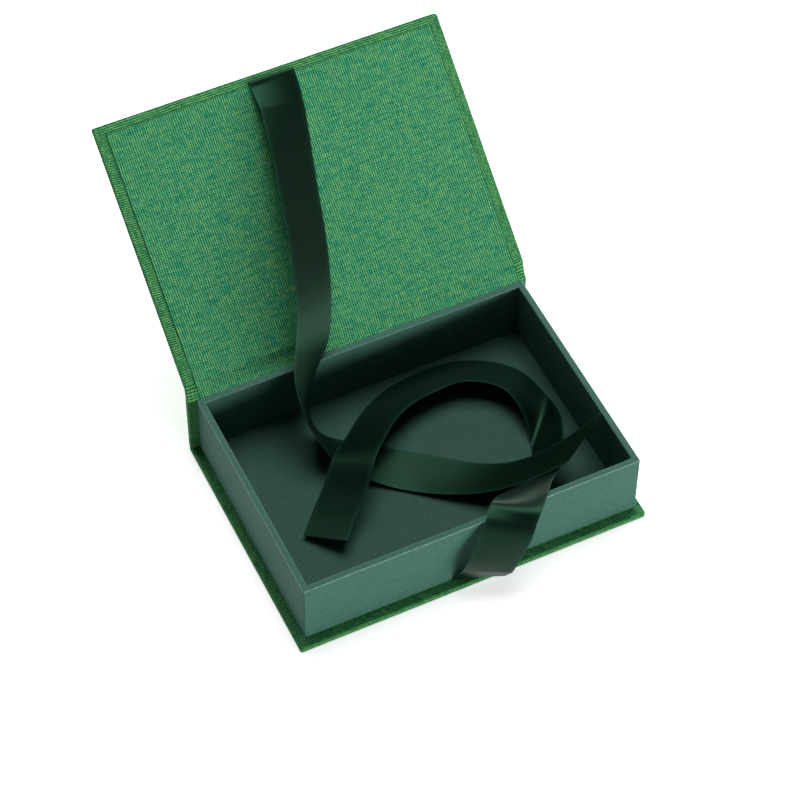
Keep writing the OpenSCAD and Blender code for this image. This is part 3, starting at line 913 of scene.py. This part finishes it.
def make_camera():
    """The camera, as the photograph's stood."""
    back = away(VIEW_TURN, VIEW_RISE)
    right = (-back).cross(Vector((0, 0, 1))).normalized()
    up = right.cross(-back)
    rolled_right = cos(VIEW_ROLL) * right + sin(VIEW_ROLL) * up
    rolled_up = -sin(VIEW_ROLL) * right + cos(VIEW_ROLL) * up
    data = bpy.data.cameras.new("camera")
    data.lens = LENS
    data.sensor_width = SENSOR
    data.clip_end = FARTHEST
    camera = bpy.data.objects.new("camera", data)
    turn = Matrix((rolled_right, rolled_up, back)).transposed().to_4x4()
    camera.matrix_world = Matrix.Translation(VIEW_TARGET + back * VIEW_DISTANCE) @ turn
    bpy.context.scene.collection.objects.link(camera)
    bpy.context.scene.camera = camera


def seen_share(tree):
    """1 for what the camera, a reflection or a clear material sees of the background."""
    camera = add(tree, "LightPath", out="Is Camera Ray")
    paths = camera.node.outputs
    share = add(tree, "Math", [camera, paths["Is Glossy Ray"]], operation="MAXIMUM")
    return add(tree, "Math", [share, paths["Is Transmission Ray"]], operation="MAXIMUM")


def make_table():
    """A plain white table top that keeps the box's shadow."""
    mesh = bpy.data.meshes.new("table")
    corners = [(x * TABLE_HALF, y * TABLE_HALF, -TABLE_DROP)
               for x, y in ((-1, -1), (1, -1), (1, 1), (-1, 1))]
    mesh.from_pydata(corners, [], [(0, 1, 2, 3)])
    table = bpy.data.objects.new("table", mesh)
    bpy.context.scene.collection.objects.link(table)
    material = new_material("white_table")
    tree = material.node_tree
    matt = add(tree, "BsdfDiffuse", {"Color": linear("#f2f2f2")})
    # the lamps light the middle of the table, and what is seen far from them is made as white
    place = add(tree, "TexCoord", out="Object")
    far = add(tree, "VectorMath", [place], "Value", operation="LENGTH")
    level = add(tree, "MapRange", {"Value": far, "From Min": 0.7, "From Max": 1.3,
                                   "To Min": 0.68, "To Max": 1})
    strength = add(tree, "Math", [seen_share(tree), level], operation="MULTIPLY")
    glow = add(tree, "Emission", [linear(WHITE), strength])
    both = add(tree, "AddShader", [matt, glow])
    add(tree, "OutputMaterial", [both])
    mesh.materials.append(material)


def make_world():
    """Dim light from all round, brighter near the horizon. The camera, reflections and clear
    materials see a white backdrop that rises behind the table, and the dim ceiling over it."""
    world = bpy.data.worlds.new("studio")
    bpy.context.scene.world = world
    world.use_nodes = True
    tree = world.node_tree
    tree.nodes.clear()
    # both strengths go by the rise of the direction: 0 at the horizon and 1 overhead
    direction = add(tree, "TexCoord", out="Generated")
    rise = add(tree, "SeparateXYZ", [direction], 2)
    glow = add(tree, "MapRange", {"Value": rise, "From Min": 0.03, "From Max": 0.2,
                                  "To Min": 0.8, "To Max": 0.03})
    seen = add(tree, "MapRange", {"Value": rise, "From Min": 0.12, "From Max": 0.3,
                                  "To Min": 1, "To Max": 0.08})
    seen = add(tree, "Math", [seen, seen_share(tree)], operation="MULTIPLY")
    strength = add(tree, "Math", [glow, seen], operation="MAXIMUM")
    background = add(tree, "Background", [linear(WHITE), strength])
    add(tree, "OutputWorld", [background])


def make_soft_box(name, turn, rise, distance, size, power):
    """A soft box that points at the object from a turn and a rise in degrees."""
    data = bpy.data.lights.new(name, "AREA")
    data.shape = "RECTANGLE"
    data.size, data.size_y = size
    data.energy = power
    lamp = bpy.data.objects.new(name, data)
    way = away(radians(turn), radians(rise))
    lamp.location = way * distance
    lamp.rotation_mode = "QUATERNION"
    lamp.rotation_quaternion = way.to_track_quat("Z", "Y")
    lamp.visible_camera = False
    bpy.context.scene.collection.objects.link(lamp)


make_camera()
make_table()
make_world()
for soft_box in SOFT_BOXES:
    make_soft_box(*soft_box)
bpy.context.scene.view_settings.view_transform = "Standard"
